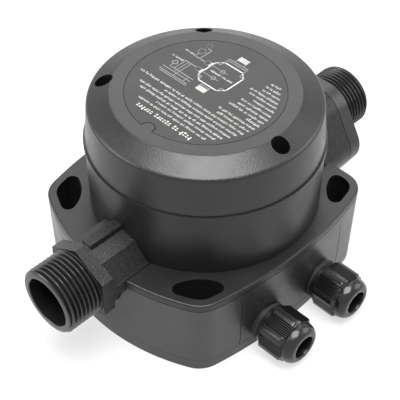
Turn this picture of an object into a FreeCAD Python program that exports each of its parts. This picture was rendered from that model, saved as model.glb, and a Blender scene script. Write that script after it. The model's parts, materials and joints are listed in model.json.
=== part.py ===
import FreeCAD, Part
import math
import os

V = FreeCAD.Vector
X, Y, Z = V(1, 0, 0), V(0, 1, 0), V(0, 0, 1)

# An electronic pressure switch that sits in a water line, in millimetres.
# The origin is the centre of the underside, +Z is up, and water flows along +X.

# Flow line: axis height, bore and the pipe threads' outer radius
AXIS_Z = 42.9
BORE_R = 12.5
THREAD_R = 16.6
THREAD_CHAMFER = 1.2
PIPE_R = 17.0

# Inlet, from the hexagon flange's back face outwards
INLET_FACE_X = -75.5
INLET_HEX_T = 6.5
INLET_HEX_R = 19.7
INLET_THREAD_L = 18.5

# Ribbed part of the inlet pipe: top rib, sloping shoulders and side wings
RIB_HALF_W = 2.6
RIB_TOP = 19.9
SHOULDER_IN = 16.7
SHOULDER_Y = 10.0
SHOULDER_OUT = 14.0
WING_Y = 17.3
WING_TOP = 3.3
WING_T = 6.0

# Outlet valve block: a hexagon with its flats up, set a little below the flow line
BLOCK_DROP = 3.3
BLOCK_APOTHEM = 29.0
BLOCK_CORNER_R = 14.0
BLOCK_X0 = 40.0
BLOCK_X1 = 74.5
OUTLET_FLANGE_T = 7.5
OUTLET_THREAD_L = 25.2
OUTLET_SCREW_R = 1.75
OUTLET_HEAD_R = 3.0
OUTLET_HEAD_H = 2.4
OUTLET_SCREW_REACH = 27.7

# Valve chamber and non-return valve
SEAT_X = 44.0
CHAMBER_R = 18.5
CAGE_X = 70.0
CAGE_R = 20.5
CAGE_T = 3.0
CAGE_ARM_W = 3.0
HUB_R = 6.0
HUB_BACK = 2.0
HUB_FRONT = 1.0
POPPET_R = 15.5
POPPET_T = 3.0
POPPET_SEAL_T = 2.0
POPPET_SEAL_R_IN = 8.0
POPPET_STEM_R = 3.0
POPPET_MAGNET_R = 8.0
POPPET_MAGNET_T = 6.0
RUNNING = 0.05

# Base, sized at the underside: long sides are shallow arcs, the inlet side bulges, the outlet side
# is straight, and all walls lean out by the mould's draft
BASE_HALF_Y = 60.4
LONG_SIDE_R = 213.0
BASE_INLET_X = 69.4
INLET_SIDE_R = 104.7
BASE_OUTLET_X = 56.0
BASE_DRAFT = 0.02
CORNER_R_INLET = 14.0
CORNER_R_OUTLET = 12.0
COVER_FLOOR = 2.5
COVER_H = 6.0
COVER_RIM_T = 3.2
SKIRT_H = 36.0
SKIRT_T = 3.2
PLATE_T = 4.0
PLATE_ROUND = 0.8
SEAM_CHAMFER = 0.35

# Fine upright lines on the gland side's wall
WALL_LINE_X = 35.0
WALL_LINE_TOP = 36.0
WALL_LINE_DEPTH = 0.3

# Corner wells: each is bounded by the wall and by an arc that bows towards the barrel
WELL_ARC_R_INLET = 22.0
WELL_ARC_R_OUTLET = 20.3
WELL_ARC_INLET = (-5.2, 2.6)
WELL_ARC_OUTLET = (-2.7, 6.0)
WELL_TIP_R = 3.5
WELL_RIM_T = 4.2
WELL_WALL = 1.6
WELL_FLOOR_Z = 12.0

# Case screws run up from the underside, through columns, into bosses under the plate
CASE_SCREW_X = (-33.0, 29.4)
CASE_SCREW_IN = 12.4
CASE_SCREW_R = 1.75
CASE_HEAD_R = 3.0
CASE_HEAD_H = 2.2
CASE_HEAD_SINK = 0.6
COLUMN_R = 3.2
BOSS_DEPTH = 12.0
WEB_T = 2.0
WEB_SHIFT = 1.6

# Barrel and lid
BARREL_H = 36.0
BARREL_R_FOOT = 56.0
BARREL_R_TOP = 56.3
BARREL_R_IN = 53.0
BARREL_FLOOR_R = 44.0
RIM_R = 57.0
RIM_H = 1.7
CAP_H = 24.8
CAP_FLAT_R = 43.9
CAP_EDGE_R = 54.1
CAP_EDGE_DROP = 5.0
CAP_FOOT_R = 56.2
CAP_ROUND = 2.2
CAP_T = 3.0
CAP_WELL_R = 4.2
CAP_WELL_FLOOR = 2.0
CAP_SCREW_PCD_R = 47.5
CAP_SCREW_ANGLES = (45.5, 124.0, 267.0)
CAP_SCREW_R = 1.8
CAP_HEAD_R = 3.6
CAP_HEAD_H = 3.0
CAP_SCREW_L = 18.0
CAP_BOSS_R = 5.8
LABEL_R = 37.2
LABEL_T = 0.25
LABEL_GAP = 0.1
LABEL_NOTCH_R = 3.3
LABEL_NOTCH_X = 36.4
GASKET_W = 1.2
GASKET_H = 1.2

# Pressure chamber under the diaphragm
BOWL_R = 40.0
BOWL_TOP = 72.0
BOWL_NECK_R = 20.0
BOWL_FLOOR = 61.0
CHAMBER_TOP_R = 29.0
PORT_R = 3.0
DIAPHRAGM_T = 2.2
DIAPHRAGM_DROP = 8.0
PISTON_R = 18.0
PISTON_T = 3.0
STEM_R = 4.0
STEM_TOP = 94.0
STEM_MAGNET_R = 2.5
STEM_MAGNET_L = 5.0
BELL_R_IN = 26.5
BELL_R_OUT = 29.5
BELL_FLANGE_T = 3.8
BELL_TOP = 96.0
BELL_ROOF_T = 3.0
BELL_GUIDE_R = 6.5
BELL_GUIDE_L = 9.0
BELL_SCREW_PCD_R = 35.0
BELL_SCREW_R = 2.0
BELL_SCREW_DEPTH = 10.0
BELL_HEAD_R = 3.4
BELL_HEAD_H = 2.6
SPRING_R = 11.5
SPRING_WIRE_R = 1.1
SPRING_TURNS = 5
VALVE_SPRING_R = 4.8
VALVE_SPRING_WIRE_R = 0.45
VALVE_SPRING_TURNS = 4

# Cable glands on the -Y side
GLAND_X = 19.05
GLAND_Z = 12.2
GLAND_WALL_OUT = 0.4
GLAND_LUG_R = 9.4
GLAND_LUG_T = 6.0
GLAND_FLANGE_R = 10.2
GLAND_WASHER_T = 1.4
GLAND_FLANGE_T = 2.0
GLAND_THREAD_R = 8.0
GLAND_INNER_L = 10.4
GLAND_NOSE_THREAD_R = 8.5
GLAND_BORE_R = 6.2
GLAND_SEAL_R = 7.0
GLAND_CABLE_R = 4.4
GLAND_MOUTH_R = 5.9
NUT_AF = 21.9
NUT_R = 12.15
NUT_FLAT_L = 13.3
NUT_L = 19.0
NUT_GAP = 0.3
NUT_DOME_R = 10.7
NUT_FACE_R = 7.4
NUT_TURN = {-GLAND_X: 26, GLAND_X: 44}
LOCKNUT_AF = 18.6
LOCKNUT_T = 3.0

# Circuit board and its parts
BOARD_Z = 8.0
BOARD_T = 1.6
BOARD_X = (-50.0, 52.0)
BOARD_EDGE_IN = 16.4
BOARD_CUT_INLET = 20.0
BOARD_CUT_OUTLET = 14.0
STANDOFF_R = 4.0
STANDOFFS = ((-42, 12), (-42, -12), (36, 20), (36, -20))
BOARD_SCREW_R = 1.4
REED_SLOT = (40.0, 54.0)
REED_R = 1.2
REED_L = 8.0
TRANSFORMER_X = -23.0
TRANSFORMER_CORE = (30.0, 20.0)
TRANSFORMER_BOBBIN = (20.0, 24.0)
TRANSFORMER_EDGE = 1.0
TERMINAL_X = 13.0
TERMINAL_SIZE = (30.0, 11.0)
TERMINAL_EDGE = 1.5
TERMINAL_PITCH = 5.0
RELAY_X = -18.0
RELAY_SIZE = (28.0, 12.0)
RELAY_EDGE = 6.0
CAPACITOR_X = 16.0
CAPACITOR_SIZE = (26.0, 10.0)
CAPACITOR_EDGE = 6.0

SCREW_GAP = 0.15
SEAT_GAP = 0.3

plate_z0 = COVER_H + SKIRT_H
case_screw_y = BASE_HALF_Y - CASE_SCREW_IN
gland_wall_y = BASE_HALF_Y + GLAND_WALL_OUT
board_y = BASE_HALF_Y - BOARD_EDGE_IN
transformer_y = TRANSFORMER_EDGE + TRANSFORMER_BOBBIN[1] / 2 - board_y
terminal_y = TERMINAL_EDGE + TERMINAL_SIZE[1] / 2 - board_y
relay_y = board_y - RELAY_EDGE - RELAY_SIZE[1] / 2
capacitor_y = board_y - CAPACITOR_EDGE - CAPACITOR_SIZE[1] / 2
plate_z1 = plate_z0 + PLATE_T
barrel_z1 = plate_z1 + BARREL_H
cap_z1 = barrel_z1 + CAP_H
inlet_hex_x0 = INLET_FACE_X - INLET_HEX_T
inlet_end_x = inlet_hex_x0 - INLET_THREAD_L
outlet_flange_x1 = BLOCK_X1 + OUTLET_FLANGE_T
outlet_end_x = outlet_flange_x1 + OUTLET_THREAD_L
block_z = AXIS_Z - BLOCK_DROP
board_top = BOARD_Z + BOARD_T


def cyl(r, start, axis, length):
    return Part.makeCylinder(r, length, start, axis)


def tube(r_out, r_in, start, axis, length):
    return cyl(r_out, start, axis, length).cut(cyl(r_in, start, axis, length))


def block(x0, x1, y0, y1, z0, z1):
    return Part.makeBox(x1 - x0, y1 - y0, z1 - z0, V(x0, y0, z0))


def fuse(shapes):
    return shapes[0].multiFuse(shapes[1:]).removeSplitter()


def face_of(points):
    return Part.Face(Part.makePolygon(points + points[:1]))


def revolve(profile, start, axis):
    """Solid of revolution: profile holds (distance along the axis, radius)."""
    across = Y if abs(axis.y) < 0.5 else X
    flat = face_of([start + axis * a + across * r for a, r in profile])
    return flat.revolve(start, axis, 360)


def prism_x(profile, x0, x1):
    """Prism along X of an outline of (y, z) points."""
    return face_of([V(x0, y, z) for y, z in profile]).extrude(V(x1 - x0, 0, 0))


def prism_z(profile, z0, z1):
    """Prism along Z of an outline of (x, y) points."""
    return face_of([V(x, y, z0) for x, y in profile]).extrude(V(0, 0, z1 - z0))


def upright_edges(solid):
    """The solid's edges that rise along Z, give or take the draft, with their plan position."""
    found = []
    for edge in solid.Edges:
        a, b = edge.Vertexes[0].Point, edge.Vertexes[-1].Point
        if abs(a.z - b.z) > 0.5 and math.hypot(a.x - b.x, a.y - b.y) < 0.1 * abs(a.z - b.z):
            found.append((edge, a.x, a.y))
    return found


def hexagon(axis_point, axis, apothem, start, length, first_angle):
    """Hexagonal prism about an axis along X or Y."""
    across = Y if abs(axis.y) < 0.5 else X
    r = apothem / math.cos(math.radians(30))
    corners = []
    for k in range(6):
        a = math.radians(first_angle + 60 * k)
        corners.append(axis_point + axis * start + across * (r * math.cos(a)) + Z * (r * math.sin(a)))
    return face_of(corners).extrude(axis * length)


def screw(head_r, head_h, shank_r, length, seat, axis):
    """Screw whose head stands on its seat; the shank runs along the axis."""
    head = cyl(head_r, seat - axis * head_h, axis, head_h)
    socket = cyl(head_r * 0.45, seat - axis * head_h, axis, head_h * 0.5)
    return fuse([head, cyl(shank_r, seat, axis, length)]).cut(socket)


def coil(mean_r, wire_r, length, turns, start, axis):
    """Compression spring of hexagonal wire that fills the length between its seats."""
    rise = length - 2 * wire_r
    helix = Part.makeHelix(rise / turns, rise, mean_r)
    section = [V(mean_r + wire_r * math.cos(math.radians(60 * k)), 0, wire_r * math.sin(math.radians(60 * k)))
               for k in range(6)]
    wire = Part.makePolygon(section + section[:1])
    spring = Part.Wire(helix.Edges).makePipeShell([wire], True, True)
    spring.translate(V(0, 0, wire_r))
    if axis.x > 0.5:
        spring.rotate(V(0, 0, 0), Y, 90)
    spring.translate(start)
    return spring


def long_side_y(x):
    """Half-width of the base's plan at x."""
    return BASE_HALF_Y - LONG_SIDE_R + math.sqrt(LONG_SIDE_R ** 2 - x ** 2)


def base_corner(side):
    """Plan corner where the long side meets the inlet side (-1) or the outlet side (+1)."""
    y = BASE_HALF_Y
    for _ in range(20):
        if side < 0:
            x = -(BASE_INLET_X - INLET_SIDE_R + math.sqrt(INLET_SIDE_R ** 2 - y ** 2))
        else:
            x = BASE_OUTLET_X
        y = long_side_y(x)
    return x, y


def base_plan(inset, z0, z1):
    """Solid of the base's outline between two heights, drawn in by an inset; its walls have draft."""
    h = z1 - z0
    lean0, lean1 = BASE_DRAFT * z0 - inset, BASE_DRAFT * z1 - inset
    reach = BASE_HALF_Y + lean1 + 5
    low, high = BASE_OUTLET_X + lean0, BASE_OUTLET_X + lean1
    side_face = face_of([V(-reach * 1.5, -reach, z0), V(low, -reach, z0), V(high, -reach, z1),
                         V(-reach * 1.5, -reach, z1)])
    shape = side_face.extrude(V(0, 2 * reach, 0))
    for side in (-1, 1):
        centre = V(0, side * (BASE_HALF_Y - LONG_SIDE_R), z0)
        shape = shape.common(Part.makeCone(LONG_SIDE_R + lean0, LONG_SIDE_R + lean1, h, centre, Z))
    centre = V(INLET_SIDE_R - BASE_INLET_X, 0, z0)
    shape = shape.common(Part.makeCone(INLET_SIDE_R + lean0, INLET_SIDE_R + lean1, h, centre, Z))
    for corner_r, pick in ((CORNER_R_INLET, -1), (CORNER_R_OUTLET, 1)):
        edges = [e for e, x, y in upright_edges(shape) if x * pick > 0 and abs(y) > BASE_HALF_Y * 0.7]
        shape = shape.makeFillet(corner_r - inset, edges)
    return shape


def well_arcs():
    """(centre x, centre y, arc radius) of each corner well."""
    arcs = []
    for side, offset, r in ((-1, WELL_ARC_INLET, WELL_ARC_R_INLET), (1, WELL_ARC_OUTLET, WELL_ARC_R_OUTLET)):
        x, y = base_corner(side)
        for flip in (-1, 1):
            arcs.append((x + offset[0], flip * (y + offset[1]), r))
    return arcs


def well_hollows(z0, z1):
    """The four corner wells as solids to cut away."""
    plan = base_plan(WELL_RIM_T, z0, z1)
    hollows = []
    for x, y, r in well_arcs():
        hollow = plan.common(cyl(r, V(x, y, z0), Z, z1 - z0))
        tips = [e for e, ex, ey in upright_edges(hollow) if abs(math.hypot(ex - x, ey - y) - r) < 0.01]
        hollows.append(hollow.makeFillet(WELL_TIP_R, tips))
    return hollows


def pipe_profile(gap):
    """Outline (y, z) of the ribbed inlet pipe, grown by a gap."""
    half = [(RIB_HALF_W + gap, RIB_TOP + gap), (RIB_HALF_W + gap, SHOULDER_IN + gap),
            (SHOULDER_Y + gap, SHOULDER_OUT + gap), (SHOULDER_Y + 0.6 + gap, SHOULDER_OUT - 1.7),
            (WING_Y - 1.5 + gap, WING_TOP + gap), (WING_Y + gap, WING_TOP + gap),
            (WING_Y + gap, WING_TOP - WING_T - gap), (WING_Y - 1.9 + gap, WING_TOP - WING_T - gap),
            (12.4 + gap, -12.6), (4.5 + gap, -PIPE_R - 1.0 - gap)]
    return [(y, AXIS_Z + z) for y, z in half] + [(-y, AXIS_Z + z) for y, z in reversed(half)]


def valve_block(gap, x0, x1):
    """Rounded hexagonal prism of the outlet valve block, grown by a gap."""
    shape = hexagon(V(0, 0, block_z), X, BLOCK_APOTHEM + gap, x0, x1 - x0, 0)
    edges = [e for e in shape.Edges if abs(e.Vertexes[0].Point.x - e.Vertexes[-1].Point.x) > 0.5]
    return shape.makeFillet(BLOCK_CORNER_R + gap, edges)


def flow_line_clearance():
    """Space that the flow body takes in the base and the barrel."""
    inlet = prism_x(pipe_profile(SEAT_GAP), INLET_FACE_X, 6 - BARREL_FLOOR_R)
    half = WING_Y + SEAT_GAP
    inlet_way = block(INLET_FACE_X, 6 - BARREL_FLOOR_R, -half, half, AXIS_Z, plate_z1)
    reach = BLOCK_APOTHEM / math.cos(math.radians(30)) - BLOCK_CORNER_R * 0.155 + 1.0
    outlet = valve_block(SEAT_GAP, BLOCK_X0 - SEAT_GAP, BLOCK_X1)
    outlet_way = block(BLOCK_X0 - SEAT_GAP, BLOCK_X1, -reach, reach, block_z, plate_z1)
    return fuse([inlet, inlet_way, outlet, outlet_way])


def case_screw_places():
    return [(x, y) for x in CASE_SCREW_X for y in (-case_screw_y, case_screw_y)]


def cap_screw_places():
    turns = [math.radians(a) for a in CAP_SCREW_ANGLES]
    return [(CAP_SCREW_PCD_R * math.cos(a), CAP_SCREW_PCD_R * math.sin(a)) for a in turns]


def bell_screw_places():
    turns = [math.radians(30 + 60 * k) for k in range(6)]
    return [(BELL_SCREW_PCD_R * math.cos(a), BELL_SCREW_PCD_R * math.sin(a)) for a in turns]


def make_bottom_cover():
    cover = base_plan(0, 0, COVER_H)
    rim = [e for e in cover.Edges if min(v.Point.z for v in e.Vertexes) > COVER_H - 0.01]
    cover = cover.makeChamfer(SEAM_CHAMFER, rim)
    cover = cover.cut(base_plan(COVER_RIM_T, COVER_FLOOR, COVER_H))
    standoffs = [cyl(STANDOFF_R, V(x, y, COVER_FLOOR), Z, BOARD_Z - COVER_FLOOR) for x, y in STANDOFFS]
    pads = [cyl(CASE_HEAD_R + 2, V(x, y, 1), Z, COVER_H - 1) for x, y in case_screw_places()]
    cover = fuse([cover] + standoffs + pads)
    for x, y in case_screw_places():
        cover = cover.cut(cyl(CASE_HEAD_R + SCREW_GAP, V(x, y, 0), Z, CASE_HEAD_SINK + CASE_HEAD_H))
        cover = cover.cut(cyl(CASE_SCREW_R + SCREW_GAP, V(x, y, 0), Z, COVER_H))
    for x, y in STANDOFFS:
        cover = cover.cut(cyl(BOARD_SCREW_R, V(x, y, COVER_FLOOR), Z, BOARD_Z))
    return cover.cut(Part.makeCompound(gland_lugs(SCREW_GAP))).cut(make_base_gasket())


def gland_lugs(extra):
    """Round lugs in the long wall that carry the cable glands, one at each gland."""
    length = GLAND_LUG_T + (1 if extra else 0)
    return [cyl(GLAND_LUG_R + extra, V(x, -gland_wall_y, GLAND_Z), Y, length) for x in (-GLAND_X, GLAND_X)]


def make_base_gasket():
    """Flat ring in the cover's rim that dips below the gland lugs."""
    inset = (COVER_RIM_T - GASKET_W) / 2
    path = base_plan(inset, 0, COVER_H).cut(base_plan(inset + GASKET_W, 0, COVER_H))
    half = BASE_INLET_X + 5
    level = block(-half, half, -half, half, COVER_H - GASKET_H, COVER_H)
    band = fuse([level] + gland_lugs(GASKET_H)).cut(Part.makeCompound(gland_lugs(SCREW_GAP)))
    return path.common(band)


def make_base_housing(clearance):
    skirt = base_plan(0, COVER_H, plate_z0)
    room = base_plan(SKIRT_T, COVER_H, plate_z0)
    for x, y, r in well_arcs():
        room = room.cut(cyl(r + WELL_WALL, V(x, y, COVER_H), Z, SKIRT_H))
    skirt = skirt.cut(room)
    skirt = skirt.cut(Part.makeCompound(well_hollows(WELL_FLOOR_Z, plate_z0)))
    column_top = plate_z0 - BOSS_DEPTH - SEAT_GAP
    adds = []
    for x, y in case_screw_places():
        wall_y = math.copysign(BASE_HALF_Y - SKIRT_T / 2, y)
        adds.append(cyl(COLUMN_R, V(x, y, COVER_H), Z, column_top - COVER_H))
        web_x = x + math.copysign(WEB_SHIFT, x) - WEB_T / 2
        adds.append(block(web_x, web_x + WEB_T, min(y, wall_y), max(y, wall_y), COVER_H, column_top))
    skirt = fuse([skirt] + [a.common(base_plan(0, COVER_H, plate_z0)) for a in adds])
    skirt = fuse([skirt] + gland_lugs(0))
    for x, y in case_screw_places():
        skirt = skirt.cut(cyl(CASE_SCREW_R + SCREW_GAP, V(x, y, COVER_H), Z, SKIRT_H))
    for x in (-GLAND_X, GLAND_X):
        skirt = skirt.cut(cyl(GLAND_THREAD_R + SCREW_GAP, V(x, -gland_wall_y - 1, GLAND_Z), Y, 10))
    kept = base_plan(WALL_LINE_DEPTH, COVER_H, WALL_LINE_TOP)
    for x in (-WALL_LINE_X, WALL_LINE_X):
        strip = block(x - 0.2, x + 0.2, -BASE_HALF_Y - 5, SKIRT_T - BASE_HALF_Y, COVER_H, WALL_LINE_TOP)
        skirt = skirt.cut(strip.cut(kept))
    return skirt.cut(clearance)


def make_upper_housing(clearance):
    plate = base_plan(0, plate_z0, plate_z1)
    top = [e for e in plate.Edges if min(v.Point.z for v in e.Vertexes) > plate_z1 - 0.01]
    plate = plate.makeFillet(PLATE_ROUND, top)
    foot = [e for e in plate.Edges if max(v.Point.z for v in e.Vertexes) < plate_z0 + 0.01]
    plate = plate.makeChamfer(SEAM_CHAMFER, foot)
    plate = plate.cut(Part.makeCompound(well_hollows(plate_z0, plate_z1)))
    barrel = revolve([(plate_z0, BARREL_FLOOR_R), (plate_z0, BARREL_R_FOOT), (plate_z1, BARREL_R_FOOT),
                      (barrel_z1 - RIM_H, BARREL_R_TOP), (barrel_z1 - RIM_H, RIM_R), (barrel_z1, RIM_R),
                      (barrel_z1, BARREL_R_IN), (plate_z1, BARREL_R_IN), (plate_z1, BARREL_FLOOR_R)],
                     V(0, 0, 0), Z)
    bosses = [cyl(CAP_BOSS_R, V(x, y, plate_z0), Z, BARREL_H + PLATE_T) for x, y in cap_screw_places()]
    columns = [cyl(COLUMN_R, V(x, y, plate_z0 - BOSS_DEPTH), Z, BOSS_DEPTH) for x, y in case_screw_places()]
    shape = plate.cut(cyl(BARREL_FLOOR_R, V(0, 0, plate_z0), Z, PLATE_T))
    shape = fuse([shape, barrel] + bosses + columns)
    for x, y in cap_screw_places():
        shape = shape.cut(cyl(CAP_SCREW_R, V(x, y, barrel_z1 - CAP_SCREW_L), Z, CAP_SCREW_L))
    for x, y in case_screw_places():
        shape = shape.cut(cyl(CASE_SCREW_R, V(x, y, plate_z0 - BOSS_DEPTH), Z, BOSS_DEPTH + 1))
    groove = tube(BARREL_R_IN + 1 + GASKET_W, BARREL_R_IN + 1, V(0, 0, barrel_z1 - GASKET_H), Z, GASKET_H)
    return shape.cut(clearance).cut(groove)


def make_top_cap():
    outer = revolve([(barrel_z1, 0), (barrel_z1, CAP_FOOT_R), (cap_z1 - CAP_EDGE_DROP, CAP_EDGE_R + 0.4),
                     (cap_z1, CAP_FLAT_R), (cap_z1, 0)], V(0, 0, 0), Z)
    shoulder = [e for e in outer.Edges if abs(e.Vertexes[0].Point.z - (cap_z1 - CAP_EDGE_DROP)) < 0.01]
    outer = outer.makeFillet(CAP_ROUND, shoulder)
    brow = [e for e in outer.Edges if abs(e.Vertexes[0].Point.z - cap_z1) < 0.01 and e.Length > 10]
    outer = outer.makeFillet(CAP_ROUND, brow)
    ceiling = cap_z1 - CAP_T
    room = revolve([(barrel_z1, 0), (barrel_z1, BARREL_R_IN), (ceiling - CAP_EDGE_DROP, CAP_EDGE_R - CAP_T),
                    (ceiling, CAP_FLAT_R - CAP_T / 2), (ceiling, 0)], V(0, 0, 0), Z)
    posts = [cyl(CAP_WELL_R + 1.6, V(x, y, barrel_z1), Z, CAP_H) for x, y in cap_screw_places()]
    posts = [post.common(outer) for post in posts]
    cap = fuse([outer.cut(room)] + posts)
    for x, y in cap_screw_places():
        cap = cap.cut(cyl(CAP_WELL_R, V(x, y, barrel_z1 + CAP_WELL_FLOOR), Z, CAP_H))
        cap = cap.cut(cyl(CAP_SCREW_R + SCREW_GAP, V(x, y, barrel_z1 - 1), Z, CAP_H))
    tongue = cyl(LABEL_NOTCH_R, V(-LABEL_NOTCH_X, 0, cap_z1 - LABEL_T), Z, LABEL_T)
    return cap.cut(cyl(LABEL_R + LABEL_GAP, V(0, 0, cap_z1 - LABEL_T), Z, LABEL_T).cut(tongue))


def make_label_disc():
    disc = cyl(LABEL_R, V(0, 0, cap_z1 - LABEL_T), Z, LABEL_T)
    return disc.cut(cyl(LABEL_NOTCH_R + LABEL_GAP, V(-LABEL_NOTCH_X, 0, cap_z1 - LABEL_T), Z, LABEL_T))


def make_flow_body():
    axis_at = V(0, 0, AXIS_Z)
    inlet_hex = hexagon(axis_at, X, INLET_HEX_R * math.cos(math.radians(30)), inlet_hex_x0, INLET_HEX_T, 90)
    spigot = revolve([(inlet_end_x, 0), (inlet_end_x, THREAD_R - THREAD_CHAMFER),
                      (inlet_end_x + THREAD_CHAMFER, THREAD_R), (inlet_hex_x0, THREAD_R), (inlet_hex_x0, 0)],
                     axis_at, X)
    ribbed = prism_x(pipe_profile(0), INLET_FACE_X, -BARREL_FLOOR_R + 2)
    pipe = cyl(PIPE_R, V(-BARREL_FLOOR_R, 0, AXIS_Z), X, BLOCK_X0 + BARREL_FLOOR_R)
    bowl = revolve([(AXIS_Z, 0), (AXIS_Z, BOWL_NECK_R), (54, BOWL_NECK_R), (64, BOWL_R), (BOWL_TOP, BOWL_R),
                    (BOWL_TOP, 0)], V(0, 0, 0), Z)
    body = fuse([inlet_hex, spigot, ribbed, pipe, bowl, valve_block(0, BLOCK_X0, BLOCK_X1)])
    cuts = [cyl(BORE_R, V(inlet_end_x, 0, AXIS_Z), X, SEAT_X - inlet_end_x),
            cyl(CHAMBER_R, V(SEAT_X, 0, AXIS_Z), X, BLOCK_X1 - SEAT_X),
            cyl(CAGE_R, V(CAGE_X, 0, AXIS_Z), X, BLOCK_X1 - CAGE_X),
            cyl(CHAMBER_TOP_R, V(0, 0, BOWL_FLOOR), Z, BOWL_TOP - BOWL_FLOOR),
            cyl(PORT_R, V(0, 0, AXIS_Z), Z, BOWL_TOP - AXIS_Z),
            seal_ring(),
            block(REED_SLOT[0], REED_SLOT[1], -3, 3, block_z - BLOCK_APOTHEM, AXIS_Z - CHAMBER_R - 2.3)]
    cuts += [cyl(BELL_SCREW_R, V(x, y, BOWL_TOP - BELL_SCREW_DEPTH + 2), Z, BELL_SCREW_DEPTH)
             for x, y in bell_screw_places()]
    cuts += [cyl(OUTLET_SCREW_R, V(BLOCK_X1 - 10, y, z), X, 10) for y, z in outlet_screw_places()]
    return body.cut(Part.makeCompound(cuts))


def outlet_screw_places():
    turns = [math.radians(a) for a in (60, 120, 240, 300)]
    return [(OUTLET_SCREW_REACH * math.cos(a), block_z + OUTLET_SCREW_REACH * math.sin(a)) for a in turns]


def seal_ring():
    return tube(CAGE_R + 2.1, CAGE_R + 0.6, V(BLOCK_X1 - 1.2, 0, AXIS_Z), X, 1.2)


def make_outlet_connector():
    axis_at = V(0, 0, AXIS_Z)
    spigot = revolve([(outlet_flange_x1, 0), (outlet_flange_x1, THREAD_R),
                      (outlet_end_x - THREAD_CHAMFER, THREAD_R), (outlet_end_x, THREAD_R - THREAD_CHAMFER),
                      (outlet_end_x, 0)], axis_at, X)
    plug_x = CAGE_X + CAGE_T
    plug = cyl(CAGE_R - 0.1, V(plug_x, 0, AXIS_Z), X, BLOCK_X1 - plug_x)
    body = fuse([valve_block(0, BLOCK_X1, outlet_flange_x1), spigot, plug])
    body = body.cut(cyl(BORE_R, V(plug_x, 0, AXIS_Z), X, outlet_end_x - plug_x))
    for y, z in outlet_screw_places():
        body = body.cut(cyl(OUTLET_SCREW_R + SCREW_GAP, V(BLOCK_X1, y, z), X, OUTLET_FLANGE_T))
        head_at = V(outlet_flange_x1 - OUTLET_HEAD_H, y, z)
        body = body.cut(cyl(OUTLET_HEAD_R + SCREW_GAP, head_at, X, OUTLET_HEAD_H))
    return body


def make_valve_cage():
    x0 = CAGE_X - HUB_BACK
    ring = tube(CAGE_R - 0.1, CHAMBER_R - 2, V(CAGE_X, 0, AXIS_Z), X, CAGE_T)
    hub = cyl(HUB_R, V(x0, 0, AXIS_Z), X, HUB_BACK + CAGE_T + HUB_FRONT)
    arms = []
    for k in range(3):
        arm = block(CAGE_X, CAGE_X + CAGE_T, -CAGE_ARM_W / 2, CAGE_ARM_W / 2, 0, CHAMBER_R - 1)
        arm.rotate(V(0, 0, 0), X, 120 * k)
        arm.translate(V(0, 0, AXIS_Z))
        arms.append(arm)
    cage = fuse([ring, hub] + arms)
    return cage.cut(cyl(POPPET_STEM_R + RUNNING, V(x0, 0, AXIS_Z), X, HUB_BACK + CAGE_T + HUB_FRONT))


def make_valve_poppet():
    x1 = SEAT_X + POPPET_SEAL_T
    x2 = x1 + POPPET_T
    return revolve([(SEAT_X, 0), (SEAT_X, POPPET_SEAL_R_IN), (x1, POPPET_SEAL_R_IN), (x1, POPPET_R),
                    (x2, POPPET_R), (x2, POPPET_STEM_R), (CAGE_X + 2, POPPET_STEM_R), (CAGE_X + 2, 0)],
                   V(0, 0, AXIS_Z), X)


def make_diaphragm():
    z0, z1 = BOWL_TOP - DIAPHRAGM_DROP, BOWL_TOP
    t = DIAPHRAGM_T
    knee = PISTON_R + 3
    disc = revolve([(z0, 0), (z0, knee), (z1, CHAMBER_TOP_R - 1), (z1, BOWL_R), (z1 + t, BOWL_R),
                    (z1 + t, CHAMBER_TOP_R - 3), (z0 + t, knee - 2), (z0 + t, 0)], V(0, 0, 0), Z)
    holes = [cyl(BELL_SCREW_R + SCREW_GAP, V(x, y, z1), Z, t) for x, y in bell_screw_places()]
    return disc.cut(Part.makeCompound(holes))


def make_pressure_plate():
    z0 = BOWL_TOP - DIAPHRAGM_DROP + DIAPHRAGM_T
    plate = revolve([(z0, 0), (z0, PISTON_R), (z0 + PISTON_T, PISTON_R), (z0 + PISTON_T, STEM_R),
                     (STEM_TOP, STEM_R), (STEM_TOP, 0)], V(0, 0, 0), Z)
    return plate.cut(cyl(STEM_MAGNET_R, V(0, 0, STEM_TOP - STEM_MAGNET_L), Z, STEM_MAGNET_L))


def make_spring_bell():
    z0 = BOWL_TOP + DIAPHRAGM_T
    roof = BELL_TOP - BELL_ROOF_T
    z1, guide = z0 + BELL_FLANGE_T, roof - BELL_GUIDE_L
    bell = revolve([(z0, BELL_R_IN), (z0, BOWL_R), (z1, BOWL_R), (z1, BELL_R_OUT), (BELL_TOP - 4, BELL_R_OUT),
                    (BELL_TOP, BELL_R_OUT - 4), (BELL_TOP, 0), (guide, 0), (guide, BELL_GUIDE_R),
                    (roof, BELL_GUIDE_R), (roof, BELL_R_IN - 3), (roof - 3, BELL_R_IN)], V(0, 0, 0), Z)
    posts = [cyl(2.4, V(0, side * 9, BELL_TOP - 1), Z, 3) for side in (-1, 1)]
    bell = fuse([bell] + posts)
    bell = bell.cut(cyl(STEM_R + RUNNING, V(0, 0, roof - BELL_GUIDE_L - 1), Z, 20))
    for x, y in bell_screw_places():
        bell = bell.cut(cyl(BELL_SCREW_R + SCREW_GAP, V(x, y, z0), Z, BELL_FLANGE_T))
    return bell


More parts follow.
